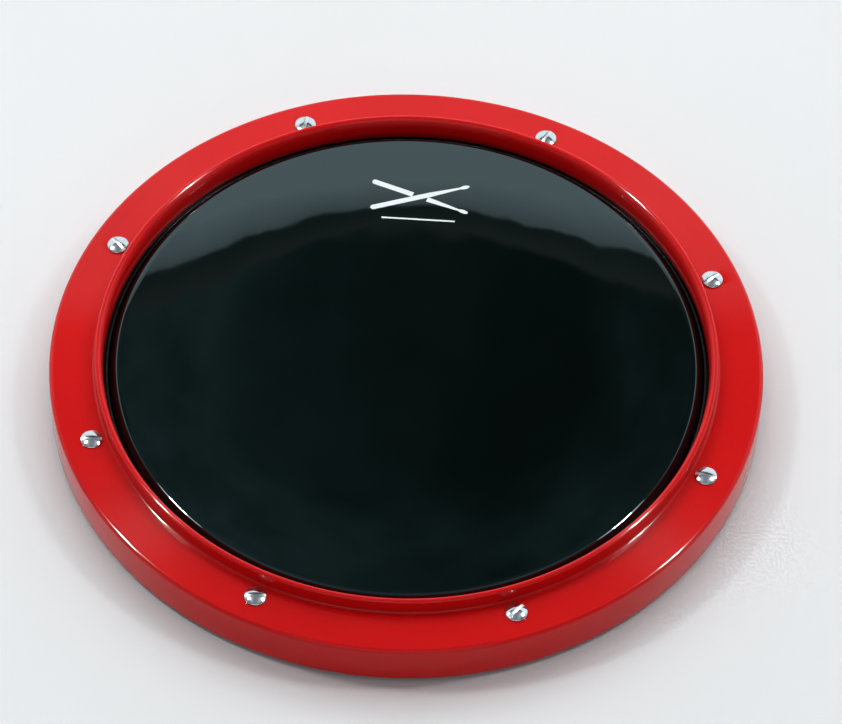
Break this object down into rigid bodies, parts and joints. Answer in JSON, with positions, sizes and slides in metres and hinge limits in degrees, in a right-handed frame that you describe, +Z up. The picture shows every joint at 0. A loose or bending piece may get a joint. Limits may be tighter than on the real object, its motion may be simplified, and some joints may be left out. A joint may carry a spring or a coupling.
{
  "type": "practice pad",
  "caption": "Low round drum practice pad with a flat tensioned film in a raised-lip rim, drawn down by slotted screws round its flange.",
  "frame": {"origin": "on the surface that the pad stands on, in the middle of the pad", "axes": "+Z up out of the playing film, +Y towards the far side, where the printed mark is, +X to the right"},
  "size_m": [0.247, 0.247, 0.0231],
  "materials": {
    "rim_plastic": "glossy moulded red",
    "head_film": "smooth high-gloss black film",
    "hoop_metal": "black anodised",
    "foam": "open-cell foam",
    "base_plastic": "fine moulded texture",
    "insert_brass": "turned",
    "grip_rubber": "matt foam rubber",
    "screw_steel": "bright nickel plate",
    "nut_steel": "zinc plate"
  },
  "bodies": {
    "base": {"base_shell": "base_plastic", "mount_insert": "insert_brass", "grip_ring": "grip_rubber", "damper_pad": "foam", "drumhead_film": "head_film", "square_nut_1": "nut_steel", "square_nut_2": "nut_steel", "square_nut_3": "nut_steel", "square_nut_4": "nut_steel", "square_nut_5": "nut_steel", "square_nut_6": "nut_steel", "square_nut_7": "nut_steel", "square_nut_8": "nut_steel"},
    "rim": {"rim": "rim_plastic", "flesh_hoop": "hoop_metal"},
    "screw_1": {"tension_screw_1": "screw_steel"},
    "screw_2": {"tension_screw_2": "screw_steel"},
    "screw_3": {"tension_screw_3": "screw_steel"},
    "screw_4": {"tension_screw_4": "screw_steel"},
    "screw_5": {"tension_screw_5": "screw_steel"},
    "screw_6": {"tension_screw_6": "screw_steel"},
    "screw_7": {"tension_screw_7": "screw_steel"},
    "screw_8": {"tension_screw_8": "screw_steel"}
  },
  "joints": [
    {"name": "rim_tension", "type": "slide", "parent": "base", "child": "rim", "axis": [0, 0, 1], "range_m": [-0.001, 0.0024]},
    {"name": "screw_1_turn", "type": "hinge", "parent": "rim", "child": "screw_1", "pos_m": [0.10463, 0.04334, 0.0172], "axis": [0, 0, 1], "range_deg": [-455.5, 1090.5]},
    {"name": "screw_2_turn", "type": "hinge", "parent": "rim", "child": "screw_2", "pos_m": [0.04334, 0.10463, 0.0172], "axis": [0, 0, 1], "range_deg": [-455.5, 1090.5]},
    {"name": "screw_3_turn", "type": "hinge", "parent": "rim", "child": "screw_3", "pos_m": [-0.04334, 0.10463, 0.0172], "axis": [0, 0, 1], "range_deg": [-455.5, 1090.5]},
    {"name": "screw_4_turn", "type": "hinge", "parent": "rim", "child": "screw_4", "pos_m": [-0.10463, 0.04334, 0.0172], "axis": [0, 0, 1], "range_deg": [-455.5, 1090.5]},
    {"name": "screw_5_turn", "type": "hinge", "parent": "rim", "child": "screw_5", "pos_m": [-0.10463, -0.04334, 0.0172], "axis": [0, 0, 1], "range_deg": [-455.5, 1090.5]},
    {"name": "screw_6_turn", "type": "hinge", "parent": "rim", "child": "screw_6", "pos_m": [-0.04334, -0.10463, 0.0172], "axis": [0, 0, 1], "range_deg": [-455.5, 1090.5]},
    {"name": "screw_7_turn", "type": "hinge", "parent": "rim", "child": "screw_7", "pos_m": [0.04334, -0.10463, 0.0172], "axis": [0, 0, 1], "range_deg": [-455.5, 1090.5]},
    {"name": "screw_8_turn", "type": "hinge", "parent": "rim", "child": "screw_8", "pos_m": [0.10463, -0.04334, 0.0172], "axis": [0, 0, 1], "range_deg": [-455.5, 1090.5]}
  ],
  "couplings": [
    {"joint": "screw_1_turn", "follows": "rim_tension", "rad_per_m": 7915.8},
    {"joint": "screw_2_turn", "follows": "rim_tension", "rad_per_m": 7915.8},
    {"joint": "screw_3_turn", "follows": "rim_tension", "rad_per_m": 7915.8},
    {"joint": "screw_4_turn", "follows": "rim_tension", "rad_per_m": 7915.8},
    {"joint": "screw_5_turn", "follows": "rim_tension", "rad_per_m": 7915.8},
    {"joint": "screw_6_turn", "follows": "rim_tension", "rad_per_m": 7915.8},
    {"joint": "screw_7_turn", "follows": "rim_tension", "rad_per_m": 7915.8},
    {"joint": "screw_8_turn", "follows": "rim_tension", "rad_per_m": 7915.8}
  ]
}
